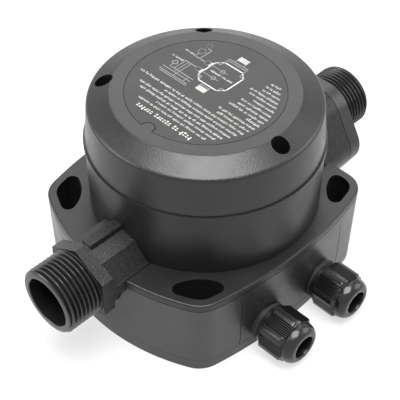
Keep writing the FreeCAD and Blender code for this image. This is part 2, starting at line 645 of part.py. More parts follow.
def make_gland(x):
    """The pieces of one cable gland, whose axis runs out along -Y."""
    out = V(0, -1, 0)
    wall = V(x, -gland_wall_y, GLAND_Z)
    flange = GLAND_WASHER_T
    nose = flange + GLAND_FLANGE_T
    seal0 = nose + 4.0
    claws = nose + 9.6
    washer = tube(GLAND_FLANGE_R, GLAND_THREAD_R + SCREW_GAP, wall, out, GLAND_WASHER_T)
    inner, nose_r = -GLAND_INNER_L, GLAND_NOSE_THREAD_R
    body = revolve([(inner, GLAND_BORE_R), (inner, GLAND_THREAD_R), (flange, GLAND_THREAD_R),
                    (flange, GLAND_FLANGE_R), (nose, GLAND_FLANGE_R), (nose, nose_r), (claws, nose_r),
                    (claws + 3.6, nose_r - 0.7), (claws + 3.6, GLAND_SEAL_R), (seal0, GLAND_SEAL_R),
                    (seal0, GLAND_BORE_R)], wall, out)
    for k in range(4):
        slot = block(-0.4, 0.4, 0, 4, -12, 12)
        slot.rotate(V(0, 0, 0), Y, 45 * k)
        slot.translate(wall + out * (claws + 4))
        body = body.cut(slot)
    seal = tube(GLAND_SEAL_R - 0.05, GLAND_CABLE_R, wall + out * seal0, out, claws + 3.6 - seal0)
    nut0 = nose + NUT_GAP
    flat_end = nut0 + NUT_FLAT_L
    tip = nut0 + NUT_L
    rise = tip - flat_end - 0.8
    dome = [(flat_end + 0.8 + rise * math.sin(math.radians(a)),
             NUT_FACE_R + (NUT_DOME_R - NUT_FACE_R) * math.cos(math.radians(a))) for a in (0, 30, 60, 90)]
    skin = revolve([(nut0, 0), (nut0, NUT_R - 0.6), (nut0 + 0.6, NUT_R), (flat_end, NUT_R)] + dome + [(tip, 0)],
                   wall, out)
    nut = skin.common(hexagon(wall, out, NUT_AF / 2, nut0, NUT_L, NUT_TURN[x]))
    inside = [(nut0, 0), (nut0, nose_r + 0.1), (claws + 3.8, nose_r + 0.1),
              (claws + 3.8, GLAND_MOUTH_R), (tip, GLAND_MOUTH_R), (tip, 0)]
    nut = nut.cut(revolve(inside, wall, out))
    locknut = hexagon(wall, out, LOCKNUT_AF / 2, -GLAND_LUG_T - LOCKNUT_T, LOCKNUT_T, 0)
    locknut = locknut.cut(cyl(GLAND_THREAD_R + SCREW_GAP, wall - out * 12, out, 12))
    return {"gland_washer": washer, "gland_body": body, "gland_seal": seal, "gland_nut": nut,
            "gland_locknut": locknut}


def make_circuit_board():
    x0, x1 = BOARD_X
    a, b, y = BOARD_CUT_INLET, BOARD_CUT_OUTLET, board_y
    half = [(x0, a - y), (x0 + a, -y), (x1 - b * 1.6, -y), (x1, b - y)]
    board = prism_z(half + [(px, -py) for px, py in reversed(half)], BOARD_Z, board_top)
    return board.cut(Part.makeCompound([cyl(BOARD_SCREW_R + SCREW_GAP, V(sx, sy, BOARD_Z), Z, BOARD_T)
                                        for sx, sy in STANDOFFS]))


def on_board(cx, cy, sx, sy, h, edge=0.0):
    """Box-shaped component standing on the board, with its upright edges rounded."""
    part = block(cx - sx / 2, cx + sx / 2, cy - sy / 2, cy + sy / 2, board_top, board_top + h)
    return part.makeFillet(edge, [e for e, _, _ in upright_edges(part)]) if edge else part


def make_transformer():
    core = on_board(TRANSFORMER_X, transformer_y, *TRANSFORMER_CORE, 20, 0)
    bobbin = on_board(TRANSFORMER_X, transformer_y, *TRANSFORMER_BOBBIN, 15, 2)
    return fuse([core, bobbin])


def terminal_places():
    return [(TERMINAL_X + TERMINAL_PITCH * (k - 2.5), terminal_y) for k in range(6)]


def make_terminal_block():
    body = on_board(TERMINAL_X, terminal_y, *TERMINAL_SIZE, 12, 0)
    for x, y in terminal_places():
        body = body.cut(cyl(2.0, V(x, y, board_top + 8), Z, 5))
        body = body.cut(cyl(1.2, V(x, y, board_top + 5), Z, 4))
        body = body.cut(block(x - 1.8, x + 1.8, y - 6, y - 2, board_top + 2, board_top + 6))
    return body


def make_varistor():
    disc = cyl(5.0, V(29, -20, board_top + 5.5), X, 4)
    return fuse([disc, block(29.5, 32.5, -22.5, -17.5, board_top, board_top + 3)])


def make_fuse():
    z = board_top + 3.5
    clips = [block(x, x + 4, 5, 11, board_top, z) for x in (0, 16)]
    return fuse([cyl(2.5, V(0, 8, z), X, 20)] + clips)


def make_reed_switch():
    z = AXIS_Z - CHAMBER_R - 2.3 - REED_R - 0.1
    x0 = sum(REED_SLOT) / 2 - REED_L / 2
    glass = cyl(REED_R, V(x0, 0, z), X, REED_L)
    legs = []
    for x, step in ((x0, -1), (x0 + REED_L, 1)):
        foot = x + step * 1.4
        legs.append(block(min(x, foot) - 0.3, max(x, foot) + 0.3, -0.3, 0.3, z - 0.3, z + 0.3))
        legs.append(block(foot - 0.3, foot + 0.3, -0.3, 0.3, board_top, z))
    return fuse([glass] + legs)


def screws_up(places, seat_z, head_r, head_h, shank_r, length):
    return Part.makeCompound([screw(head_r, head_h, shank_r, length, V(x, y, seat_z), Z) for x, y in places])


def screws_down(places, seat_z, head_r, head_h, shank_r, length):
    return Part.makeCompound([screw(head_r, head_h, shank_r, length, V(x, y, seat_z), V(0, 0, -1))
                              for x, y in places])


def build():
    clearance = flow_line_clearance()
    poppet_x2 = SEAT_X + POPPET_SEAL_T + POPPET_T
    piston_top = BOWL_TOP - DIAPHRAGM_DROP + DIAPHRAGM_T + PISTON_T
    bell_flange_top = BOWL_TOP + DIAPHRAGM_T + BELL_FLANGE_T
    magnet_x1 = poppet_x2 + POPPET_MAGNET_T
    hub_x0 = CAGE_X - HUB_BACK
    case_seat = CASE_HEAD_SINK + CASE_HEAD_H
    parts = {
        "bottom_cover": make_bottom_cover(),
        "base_gasket": make_base_gasket(),
        "base_housing": make_base_housing(clearance),
        "upper_housing": make_upper_housing(clearance),
        "top_cap": make_top_cap(),
        "label_disc": make_label_disc(),
        "flow_body": make_flow_body(),
        "outlet_connector": make_outlet_connector(),
        "outlet_seal": seal_ring(),
        "valve_cage": make_valve_cage(),
        "valve_poppet": make_valve_poppet(),
        "diaphragm": make_diaphragm(),
        "pressure_plate": make_pressure_plate(),
        "spring_bell": make_spring_bell(),
        "circuit_board": make_circuit_board(),
        "transformer": make_transformer(),
        "terminal_block": make_terminal_block(),
        "varistor": make_varistor(),
        "fuse": make_fuse(),
        "reed_switch": make_reed_switch(),
    }
    parts["poppet_seal"] = tube(POPPET_R, POPPET_SEAL_R_IN, V(SEAT_X, 0, AXIS_Z), X, POPPET_SEAL_T)
    parts["poppet_magnet"] = tube(POPPET_MAGNET_R, POPPET_STEM_R, V(poppet_x2, 0, AXIS_Z), X, POPPET_MAGNET_T)
    parts["poppet_spring"] = coil(VALVE_SPRING_R, VALVE_SPRING_WIRE_R, hub_x0 - magnet_x1, VALVE_SPRING_TURNS,
                                  V(magnet_x1, 0, AXIS_Z), X)
    spring_l = BELL_TOP - BELL_ROOF_T - piston_top
    parts["pressure_spring"] = coil(SPRING_R, SPRING_WIRE_R, spring_l, SPRING_TURNS, V(0, 0, piston_top), Z)
    parts["stem_magnet"] = cyl(STEM_MAGNET_R, V(0, 0, STEM_TOP - STEM_MAGNET_L), Z, STEM_MAGNET_L)
    parts["sensor_board"] = tube(12.0, STEM_R + 1.5, V(0, 0, BELL_TOP + 2), Z, BOARD_T)
    parts["hall_sensor"] = block(6, 10, -2, 2, BELL_TOP + 2 + BOARD_T, BELL_TOP + 3.5 + BOARD_T)
    parts["cap_gasket"] = tube(BARREL_R_IN + 1 + GASKET_W, BARREL_R_IN + 1, V(0, 0, barrel_z1 - GASKET_H), Z,
                               GASKET_H)
    parts["relay"] = on_board(RELAY_X, relay_y, *RELAY_SIZE, 15, 0.8)
    parts["film_capacitor"] = on_board(CAPACITOR_X, capacitor_y, *CAPACITOR_SIZE, 18, 1.0)
    parts["control_chip"] = on_board(-30, 4, 12, 9, 2, 0)
    parts["case_screws"] = screws_up(case_screw_places(), case_seat, CASE_HEAD_R, CASE_HEAD_H, CASE_SCREW_R,
                                     plate_z0 - case_seat)
    parts["cap_screws"] = screws_down(cap_screw_places(), barrel_z1 + CAP_WELL_FLOOR, CAP_HEAD_R, CAP_HEAD_H,
                                      CAP_SCREW_R, CAP_SCREW_L)
    bell_screw_l = bell_flange_top - BOWL_TOP + BELL_SCREW_DEPTH - 2.5
    parts["bell_screws"] = screws_down(bell_screw_places(), bell_flange_top, BELL_HEAD_R, BELL_HEAD_H,
                                       BELL_SCREW_R, bell_screw_l)
    parts["terminal_screws"] = screws_down(terminal_places(), board_top + 8, 1.9, 1.6, 1.2, 3)
    parts["board_screws"] = screws_down(STANDOFFS, board_top, 2.6, 1.8, BOARD_SCREW_R, 5)
    parts["outlet_screws"] = Part.makeCompound([
        screw(OUTLET_HEAD_R, OUTLET_HEAD_H, OUTLET_SCREW_R, OUTLET_FLANGE_T - OUTLET_HEAD_H + 9,
              V(outlet_flange_x1 - OUTLET_HEAD_H, y, z), V(-1, 0, 0)) for y, z in outlet_screw_places()])
    for side, x in (("left", -GLAND_X), ("right", GLAND_X)):
        for name, shape in make_gland(x).items():
            parts[f"{side}_{name}"] = shape
    return parts


os.makedirs("parts", exist_ok=True)
for name, shape in build().items():
    if not shape.isValid():
        print("not valid:", name)
    shape.exportStep(f"parts/{name}.step")
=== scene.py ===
import json
import logging
import math
import random
from collections.abc import Callable, Iterable
from dataclasses import dataclass, field
from enum import Enum

import bmesh
import bpy
from mathutils import Matrix, Vector

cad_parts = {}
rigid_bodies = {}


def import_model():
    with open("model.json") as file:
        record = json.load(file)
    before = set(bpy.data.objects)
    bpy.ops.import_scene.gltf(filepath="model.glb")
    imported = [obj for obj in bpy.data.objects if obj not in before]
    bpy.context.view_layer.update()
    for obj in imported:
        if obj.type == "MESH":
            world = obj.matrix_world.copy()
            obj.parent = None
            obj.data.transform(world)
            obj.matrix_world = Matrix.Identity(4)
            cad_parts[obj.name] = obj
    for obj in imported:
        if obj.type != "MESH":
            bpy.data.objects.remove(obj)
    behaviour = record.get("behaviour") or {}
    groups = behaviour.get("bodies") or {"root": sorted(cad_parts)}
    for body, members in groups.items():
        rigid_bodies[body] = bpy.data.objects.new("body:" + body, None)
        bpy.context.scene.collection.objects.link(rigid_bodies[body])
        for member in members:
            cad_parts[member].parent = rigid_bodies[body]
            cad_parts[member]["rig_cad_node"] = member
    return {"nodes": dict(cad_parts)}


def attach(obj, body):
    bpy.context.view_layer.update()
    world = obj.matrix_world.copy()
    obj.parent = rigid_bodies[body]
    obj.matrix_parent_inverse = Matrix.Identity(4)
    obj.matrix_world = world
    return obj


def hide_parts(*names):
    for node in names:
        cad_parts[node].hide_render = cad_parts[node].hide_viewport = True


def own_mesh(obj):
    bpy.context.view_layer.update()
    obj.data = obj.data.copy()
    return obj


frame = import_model()

LOG = logging.getLogger("pressure_switch")
MM = 0.001
MERGE_WITHIN = 1e-6  # metres
CUT_WITHIN = 1e-7  # metres
FLAT_WITHIN = 0.4  # degrees
SHARP_ANGLE = 30.0  # degrees
NOISE_LOW, NOISE_HIGH = 0.3, 0.7  # most of a noise texture's values lie between these
WHITE = (1.0, 1.0, 1.0, 1.0)
Point = tuple[float, float, float]
Colour = tuple[float, float, float]
Pair = tuple[float, float]
Line = tuple[float, float, float, float]
Shape = bmesh.types.BMesh
Object = bpy.types.Object
Tree = bpy.types.NodeTree
Socket = bpy.types.NodeSocket


class Surface(Enum):
    """What a surface does beyond its colour, gloss and grain."""

    PLAIN = "plain"
    BRUSHED = "brushed"
    CLEAR = "clear"


class Side(Enum):
    """Which of the two cable glands a piece belongs to, with the gland's place along X in millimetres."""

    LEFT = -19.05
    RIGHT = 19.05


class PipeEnd(Enum):
    """End of the flow line that carries a thread, with the way it points along X."""

    INLET = -1
    OUTLET = 1


def feed(tree: Tree, node: bpy.types.Node, inputs: dict[str | int, object]) -> None:
    """Gives a node's inputs their values.

    Args:
        tree: The nodes that it is one of.
        node: The node.
        inputs: A plain value or the socket that feeds it, for each input's name or number.
    """
    for key, value in inputs.items():
        if isinstance(value, Socket):
            tree.links.new(value, node.inputs[key])
        else:
            node.inputs[key].default_value = value


def add_node(tree: Tree, kind: str, inputs: dict[str | int, object], output: str | int = 0,
             operation: str | None = None) -> Socket:
    """Adds a node that works something out.

    Args:
        tree: The nodes that it joins.
        kind: Its type, without ShaderNode in front.
        inputs: What its inputs are given, as in feed.
        output: The output that is wanted, by name or number.
        operation: What the node does, if it is a maths node.

    Returns:
        The socket of that output.
    """
    node = tree.nodes.new(f"ShaderNode{kind}")
    if operation:
        node.operation = operation
    feed(tree, node, inputs)
    return node.outputs[output]


def add_ramp(tree: Tree, source: Socket, low: Colour, high: Colour, ends: Pair) -> Socket:
    """Adds a colour ramp.

    Args:
        tree: The nodes that it joins.
        source: The value that is turned into a colour.
        low: The colour at its lower end.
        high: The colour at its upper end.
        ends: The values at which the two are reached.

    Returns:
        The socket with the colour.
    """
    ramp = tree.nodes.new("ShaderNodeValToRGB")
    for stop, place, colour in zip(ramp.color_ramp.elements, ends, (low, high)):
        stop.position, stop.color = place, (*colour, 1.0)
    feed(tree, ramp, {"Fac": source})
    return ramp.outputs["Color"]


@dataclass(frozen=True)
class Finish:
    """A surface finish that turns into one procedural material.

    Sizes are in metres. Grain is the fine texture of the mould, and mottle the slow change of tone.
    """

    name: str
    colour: Colour
    roughness: float
    surface: Surface = Surface.PLAIN
    grain: float = 0.0005
    grain_depth: float = 0.00002
    mottle: float = 0.12
    mottle_size: float = 0.02
    metallic: float = 0.0
    coat: float = 0.0
    specular: float = 0.5
    coat_roughness: float = 0.08
    clearness: float = 0.9
    clear_ior: float = 1.45
    brush_stretch: float = 0.06
    least_roughness: float = 0.02
    gloss_swing: float = 0.05
    gloss_size_share: float = 0.6
    tone_detail: float = 3.0
    gloss_detail: float = 4.0
    grain_detail: float = 2.0

    def material(self) -> bpy.types.Material:
        """Makes the material, or finds it if it is made already.

        Returns:
            The Blender material.
        """
        name = f"{self.name}_finish"
        made = bpy.data.materials.get(name)
        if made:
            return made
        made = bpy.data.materials.new(name)
        made.use_nodes = True
        tree = made.node_tree
        shader = tree.nodes["Principled BSDF"]
        feed(tree, shader, {"Metallic": self.metallic, "Specular IOR Level": self.specular})
        if self.coat:
            feed(tree, shader, {"Coat Weight": self.coat, "Coat Roughness": self.coat_roughness})
        if self.surface is Surface.CLEAR:
            feed(tree, shader, {"Transmission Weight": self.clearness, "IOR": self.clear_ior})
        place = add_node(tree, "TexCoord", {}, "Object")
        feed(tree, shader, {"Base Color": self._tone(tree, place), "Roughness": self._gloss(tree, place),
                            "Normal": self._relief(tree, place)})
        return made

    def _noise(self, tree: Tree, place: Socket, size: float, detail: float) -> Socket:
        """Adds a noise texture whose features are of a given size.

        Args:
            tree: The material's nodes.
            place: The texture coordinates.
            size: Feature size in metres.
            detail: Octaves of finer noise.

        Returns:
            The socket with the noise.
        """
        if self.surface is Surface.BRUSHED:
            stretch = (1.0, 1.0, self.brush_stretch)
            place = add_node(tree, "Mapping", {"Scale": stretch, "Vector": place})
        inputs = {"Scale": 1.0 / size, "Detail": detail, "Vector": place}
        return add_node(tree, "TexNoise", inputs, "Fac")

    def _tone(self, tree: Tree, place: Socket) -> Socket:
        """Works out the colour, which varies slowly over the surface.

        Args:
            tree: The material's nodes.
            place: The texture coordinates.

        Returns:
            The socket with the colour.
        """
        slow = self._noise(tree, place, self.mottle_size, self.tone_detail)
        low = tuple(c * (1 - self.mottle) for c in self.colour)
        high = tuple(min(1.0, c * (1 + self.mottle)) for c in self.colour)
        return add_ramp(tree, slow, low, high, (NOISE_LOW, NOISE_HIGH))

    def _gloss(self, tree: Tree, place: Socket) -> Socket:
        """Works out the roughness, which varies a little about its mean.

        Args:
            tree: The material's nodes.
            place: The texture coordinates.

        Returns:
            The socket with the roughness.
        """
        cloud = self._noise(tree, place, self.mottle_size * self.gloss_size_share, self.gloss_detail)
        low = max(self.least_roughness, self.roughness - self.gloss_swing)
        high = min(1.0, self.roughness + self.gloss_swing)
        return add_node(tree, "MapRange", {
            "From Min": NOISE_LOW, "From Max": NOISE_HIGH, "To Min": low, "To Max": high, "Value": cloud},
            "Result")

    def _relief(self, tree: Tree, place: Socket) -> Socket:
        """Works out the fine grain of the surface as bump.

        Args:
            tree: The material's nodes.
            place: The texture coordinates.

        Returns:
            The socket with the normal.
        """
        fine = self._noise(tree, place, self.grain, self.grain_detail)
        inputs = {"Strength": 1.0, "Distance": self.grain_depth, "Height": fine}
        return add_node(tree, "Bump", inputs, "Normal")


@dataclass(frozen=True)
class BoardFinish(Finish):
    """Solder mask over copper tracks, for the circuit boards."""

    brick_size: float = 0.01
    track_width: float = 0.03
    track_colour: Colour = (0.05, 0.3, 0.12)
    other_tone: float = 0.8

    def _tone(self, tree: Tree, place: Socket) -> Socket:
        """Draws faint tracks by a brick pattern under the mask's colour.

        Args:
            tree: The material's nodes.
            place: The texture coordinates.

        Returns:
            The socket with the colour.
        """
        return add_node(tree, "TexBrick", {
            "Scale": 1.0 / self.brick_size, "Mortar Size": self.track_width, "Color1": (*self.colour, 1),
            "Color2": (*(c * self.other_tone for c in self.colour), 1), "Mortar": (*self.track_colour, 1),
            "Vector": place}, "Color")


@dataclass(frozen=True)
class Finishes:
    """All the finishes of the pressure switch."""

    lid: Finish = Finish("lid_plastic", (0.010, 0.0104, 0.0104), 0.30, grain=0.0006, grain_depth=0.00009,
                         specular=0.42)
    housing: Finish = Finish("housing_plastic", (0.010, 0.0104, 0.0104), 0.36, grain_depth=0.000014,
                             specular=0.34)
    # Same black plastic as the housing, made lighter and glossier here: painted light for the brighter walls
    # of the base and bottom cover.
    base: Finish = Finish("base_plastic", (0.013, 0.0135, 0.0135), 0.33, grain_depth=0.000014, specular=0.58)
    flow: Finish = Finish("flow_plastic", (0.015, 0.0153, 0.015), 0.32, grain=0.0007, grain_depth=0.00018,
                          mottle=0.6, mottle_size=0.0011, specular=0.24)
    connector: Finish = Finish("connector_plastic", (0.018, 0.018, 0.0172), 0.34, grain_depth=0.00003,
                               specular=0.36)
    # Near-black finish for thread valleys, grip grooves and the outlet joint: painted shade in deep places.
    painted_shade: Finish = Finish("valley_plastic", (0.004, 0.004, 0.004), 0.6, grain_depth=0.00001, specular=0.1)
    thread: Finish = Finish("thread_plastic", (0.010, 0.0103, 0.0103), 0.24, grain=0.0006,
                            grain_depth=0.000012, specular=0.5)
    gland: Finish = Finish("gland_plastic", (0.008, 0.008, 0.0079), 0.2, grain=0.0012, grain_depth=0.000006,
                           mottle=0.08, specular=0.42)
    label: Finish = Finish("label_film", (0.018, 0.0172, 0.0166), 0.42, grain=0.0009, grain_depth=0.000004,
                           mottle=0.05, specular=0.35)
    ink: Finish = Finish("label_ink", (0.50, 0.50, 0.49), 0.45, grain=0.0006, grain_depth=0.000003,
                         mottle_size=0.003)
    faint_ink: Finish = Finish("label_thin_ink", (0.20, 0.20, 0.196), 0.45, grain=0.0006,
                               grain_depth=0.000003)
    # Near-black stroke round the label's cut edge: painted shadow of the recess that the label sits in.
    painted_shadow_edge: Finish = Finish("label_shadow_edge", (0.004, 0.004, 0.004), 0.7, grain=0.0009,
                              grain_depth=0.000004)
    rubber: Finish = Finish("black_rubber", (0.012, 0.012, 0.012), 0.7, grain=0.0004, grain_depth=0.00003)
    diaphragm: Finish = Finish("diaphragm_rubber", (0.06, 0.052, 0.045), 0.75, grain=0.0006,
                               grain_depth=0.00004)
    zinc: Finish = Finish("zinc_steel", (0.62, 0.62, 0.6), 0.32, Surface.BRUSHED, grain=0.0004,
                          grain_depth=0.000006, mottle=0.08, mottle_size=0.004, metallic=1.0)
    dark_steel: Finish = Finish("black_steel", (0.06, 0.06, 0.062), 0.4, Surface.BRUSHED, grain=0.0004,
                                grain_depth=0.00001, mottle=0.1, mottle_size=0.003, metallic=0.6)
    wire: Finish = Finish("spring_wire", (0.7, 0.7, 0.69), 0.25, Surface.BRUSHED, grain=0.0003,
                          grain_depth=0.000005, mottle=0.06, mottle_size=0.003, metallic=1.0)
    ferrite: Finish = Finish("ferrite", (0.07, 0.07, 0.078), 0.6, grain=0.0003, grain_depth=0.00003)
    acetal: Finish = Finish("white_acetal", (0.78, 0.77, 0.73), 0.4, grain=0.0006, grain_depth=0.00001,
                            mottle=0.03)
    board: Finish = BoardFinish("green_board", (0.02, 0.17, 0.06), 0.3, grain=0.0008, grain_depth=0.00001,
                                coat=0.4)
    relay: Finish = Finish("blue_relay_case", (0.03, 0.10, 0.42), 0.3, grain=0.0008, grain_depth=0.000008)
    film: Finish = Finish("yellow_capacitor", (0.72, 0.5, 0.07), 0.3, grain=0.0015, grain_depth=0.00001)
    winding: Finish = Finish("varnished_core", (0.11, 0.10, 0.095), 0.45, Surface.BRUSHED,
                             grain_depth=0.00004, mottle=0.2, mottle_size=0.004, metallic=0.4)
    terminal: Finish = Finish("green_terminal", (0.04, 0.33, 0.12), 0.38, grain=0.0006, grain_depth=0.00001)
    chip: Finish = Finish("chip_resin", (0.02, 0.02, 0.021), 0.5, grain=0.0003)
    varistor: Finish = Finish("blue_varistor", (0.02, 0.15, 0.45), 0.25, grain=0.002, grain_depth=0.00003)
    glass: Finish = Finish("fuse_glass", (0.85, 0.9, 0.9), 0.05, Surface.CLEAR, grain=0.002,
                           grain_depth=0.000002, mottle=0.02)


FINISHES = Finishes()


def add_object(name: str, data: bpy.types.ID) -> Object:
    """Adds an object to the scene.

    Args:
        name: Its name.
        data: Its mesh, camera or lamp.

    Returns:
        The object.
    """
    made = bpy.data.objects.new(name, data)
    bpy.context.scene.collection.objects.link(made)
    return made


def dress(obj: Object, finish: Finish, smooth_angle: float = SHARP_ANGLE) -> None:
    """Gives an object one finish on every material slot, and shades the scene's own pieces smooth.

    Args:
        obj: The mesh object.
        finish: The finish it takes.
        smooth_angle: Edges sharper than this many degrees stay sharp on the scene's own pieces.
    """
    if obj.data.materials:
        for place in obj.material_slots:
            place.material = finish.material()
    else:
        obj.data.materials.append(finish.material())
    if "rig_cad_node" not in obj:
        obj.data.shade_smooth()
        obj.data.set_sharp_from_angle(angle=math.radians(smooth_angle))


def piece_from_bmesh(name: str, shape: Shape, finish: Finish,
                     smooth_angle: float = SHARP_ANGLE,
                     valleys: Callable[[Vector], bool] | None = None) -> Object:
    """Turns a bmesh into a piece that rides on the housing.

    Args:
        name: The piece's name.
        shape: The bmesh, which is freed.
        finish: Its finish.
        smooth_angle: Edges sharper than this many degrees stay sharp.
        valleys: Tells by a face's middle whether the face takes the near-black painted shade of deep places.

    Returns:
        The new object.
    """
    bmesh.ops.recalc_face_normals(shape, faces=shape.faces)
    if valleys:
        for face in shape.faces:
            face.material_index = int(valleys(face.calc_center_median()))
    mesh = bpy.data.meshes.new(name)
    shape.to_mesh(mesh)
    shape.free()
    made = add_object(name, mesh)
    dress(made, finish, smooth_angle)
    # Second slot: the painted shade for the faces that valleys picks.
    if valleys:
        mesh.materials.append(FINISHES.painted_shade.material())
    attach(made, "housing")
    LOG.info("%s: %d faces", name, len(mesh.polygons))
    return made


def lathe_grid(rows: list[list[Point]], lead: int = 0, led_rows: int = 0) -> Shape:
    """Skins rings of points into a closed tube, the last ring joined back to the first.

    Args:
        rows: Rings of points, each with the same count.
        lead: Rows that a helix climbs in one turn.
        led_rows: How many of the first rows follow the helix. The first and last of them are level.

    Returns:
        The skinned bmesh.
    """
    shape = bmesh.new()
    rings = [[shape.verts.new(p) for p in row] for row in rows]
    count = len(rows[0])
    for k in range(len(rings)):
        low, high = k, (k + 1) % len(rings)
        for j in range(count):
            side, climb = (j + 1) % count, 0
            if side == 0 and k < led_rows:
                climb = lead
            next_low = min(low + climb, led_rows) if climb else low
            next_high = min(high + climb, led_rows) if climb else high
            loop = [rings[low][j], rings[next_low][side], rings[next_high][side], rings[high][j]]
            if next_low == next_high:
                loop.pop(2)
            shape.faces.new(loop)
    if lead:
        bmesh.ops.remove_doubles(shape, verts=shape.verts, dist=MERGE_WITHIN)
    return shape


@dataclass
class PipeThread:
    """Parallel pipe thread at one end of the flow line, in millimetres."""

    end: PipeEnd
    root_x: float
    length: float
    crest_r: float = 16.6
    pitch: float = 2.309
    depth: float = 1.55
    bore_r: float = 12.5
    axis_z: float = 42.9
    chamfer: float = 1.2
    runout: float = 1.0
    end_gap: float = 0.3
    face_break: Pair = (0.1, 0.05)
    rim: float = 0.35
    bore_clear: float = 1.0
    valley_depth: float = 0.6
    valley_stop: float = 1.0
    around: int = 160
    profile: tuple[Pair, ...] = (
        (0.0, 0.0), (0.12, 0.02), (0.20, 0.16), (0.37, 0.90), (0.43, 1.0), (0.57, 1.0), (0.63, 0.90),
        (0.80, 0.16), (0.88, 0.02))

    def radius(self, along: float, height: float) -> float:
        """Radius of the thread at one point.

        Args:
            along: Distance from the root end.
            height: Height of the thread's profile there, from 0 in the valley to 1 on the crest.

        Returns:
            The radius in millimetres.
        """
        fade = min(1.0, along / self.runout)
        r = self.crest_r - self.depth * fade * (1.0 - height)
        return min(r, self.crest_r - max(0.0, self.chamfer - (self.length - along)))

    def helix(self) -> list[list[Point]]:
        """Rows of points that follow the thread round the spigot.

        Returns:
            The rows in metres. Rows that would pass either end of the thread are level with it.
        """
        rows = []
        end = self.length - self.end_gap
        for turn in range(-1, math.ceil(self.length / self.pitch) + 1):
            for phase, height in self.profile:
                points = []
                for k in range(self.around):
                    share = k / self.around
                    along = min(end, max(0.0, (turn + phase + share) * self.pitch))
                    r = self.radius(along, height)
                    if along == end:
                        r = self.crest_r - self.chamfer + self.end_gap
                    points.append(self.place(along, r, 2 * math.pi * share))
                rows.append(points)
        return rows

    def place(self, along: float, r: float, turn: float) -> Point:
        """One point by its distance from the root end, its radius and its angle, in metres."""
        x = self.root_x + self.end.value * along
        return x * MM, r * math.cos(turn) * MM, (self.axis_z + r * math.sin(turn)) * MM

    def ring(self, along: float, r: float) -> list[Point]:
        """Level ring of points about the flow axis."""
        return [self.place(along, r, 2 * math.pi * k / self.around) for k in range(self.around)]

    def build(self, name: str, finish: Finish, slot: str) -> Object:
        """Builds the threaded spigot as a closed piece with its bore.

        Args:
            name: The piece's name.
            finish: Its finish.
            slot: The record's material slot; not used.

        Returns:
            The spigot.
        """
        rows = self.helix()
        led_rows = len(rows) - 1
        face, rim = self.crest_r - self.chamfer, self.rim
        break_x, break_r = self.face_break
        inward = ((self.length - break_x, face - break_r), (self.length, face - rim),
                  (self.length, self.bore_r + rim), (self.length - rim, self.bore_r),
                  (self.length * 0.5, self.bore_r), (0.0, self.bore_r))
        rows += [self.ring(along, r) for along, r in inward]
        shape = lathe_grid(rows, len(self.profile), led_rows)
        # Faces in the thread's valleys take painted shade.
        return piece_from_bmesh(name, shape, finish, valleys=self.in_valley)

    def in_valley(self, middle: Vector) -> bool:
        """Tells whether a face lies in the thread's valley, where it takes painted shade.

        Args:
            middle: The face's middle in metres.

        Returns:
            True if it does.
        """
        reach = math.hypot(middle.y, middle.z - self.axis_z * MM) / MM
        along = abs(middle.x / MM - self.root_x)
        deep = self.bore_r + self.bore_clear < reach < self.crest_r - self.valley_depth * self.depth
        return deep and along < self.length - self.valley_stop


@dataclass
class FlowLine:
    """The flow body and outlet connector, whose plain spigots get their threads here.

    Sizes are in millimetres and degrees.
    """

    edge_wear: float = 0.3
    wear_angle: float = 35.0
    smooth_angle: float = 11.0
    large_face_weight: int = 100
    seam_x: float = 74.5
    seam_width: float = 0.45
    seam_slack: float = 0.001
    inlet: PipeThread = field(default_factory=lambda: PipeThread(PipeEnd.INLET, -82.15, 18.35))
    outlet: PipeThread = field(default_factory=lambda: PipeThread(PipeEnd.OUTLET, 82.15, 25.05))

    @staticmethod
    def cut_across(shape: Shape, x: float, way: int, clear: bool) -> None:
        """Cuts a bmesh across the flow axis.

        Args:
            shape: The bmesh.
            x: Where it is cut, in millimetres.
            way: The side that is the outer one, -1 or 1 along X.
            clear: Whether the outer side is taken off.
        """
        everything = shape.verts[:] + shape.edges[:] + shape.faces[:]
        bmesh.ops.bisect_plane(shape, geom=everything, plane_co=(x * MM, 0, 0), plane_no=(way, 0, 0),
                               clear_outer=clear, dist=CUT_WITHIN)

    def shell(self, node: str, thread: PipeThread, finish: Finish) -> Object:
        """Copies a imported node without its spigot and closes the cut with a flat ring.

        Args:
            node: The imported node.
            thread: The thread that takes the spigot's place.
            finish: The piece's finish.

        Returns:
            The piece that stands for the node.
        """
        shape = bmesh.new()
        shape.from_mesh(frame["nodes"][node].data)
        bmesh.ops.remove_doubles(shape, verts=shape.verts, dist=MERGE_WITHIN)
        self.cut_across(shape, thread.root_x, thread.end.value, True)
        bmesh.ops.bridge_loops(shape, edges=[e for e in shape.edges if e.is_boundary])
        bmesh.ops.dissolve_limit(shape, angle_limit=math.radians(FLAT_WITHIN), verts=shape.verts,
                                 edges=shape.edges)
        # This cut bounds the band at the joint whose faces take painted shade.
        self.cut_across(shape, self.seam_x + self.seam_width, 1, False)
        made = piece_from_bmesh(f"{node}_moulding", shape, finish, self.smooth_angle,
                                self.in_seam)
        worn = made.modifiers.new("worn_edges", "BEVEL")
        worn.width = self.edge_wear * MM
        worn.segments = 1
        worn.limit_method = "ANGLE"
        worn.angle_limit = math.radians(self.wear_angle)
        even = made.modifiers.new("even_normals", "WEIGHTED_NORMAL")
        even.keep_sharp = True
        even.weight = self.large_face_weight
        return made

    def in_seam(self, middle: Vector) -> bool:
        """Whether a face with this middle lies in the joint between the outlet connector and its block, where
        it takes painted shade.
        """
        return self.seam_x - self.seam_slack <= middle.x / MM < self.seam_x + self.seam_width

    def build(self) -> None:
        """Builds both shells and both threads in place of their nodes."""
        ends = (("flow_body", self.inlet, FINISHES.flow),
                ("outlet_connector", self.outlet, FINISHES.connector))
        for node, thread, finish in ends:
            shell = self.shell(node, thread, finish)
            spigot = thread.build(f"{thread.end.name.lower()}_thread", FINISHES.thread, "flow_plastic")
            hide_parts(node)
            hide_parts(node)


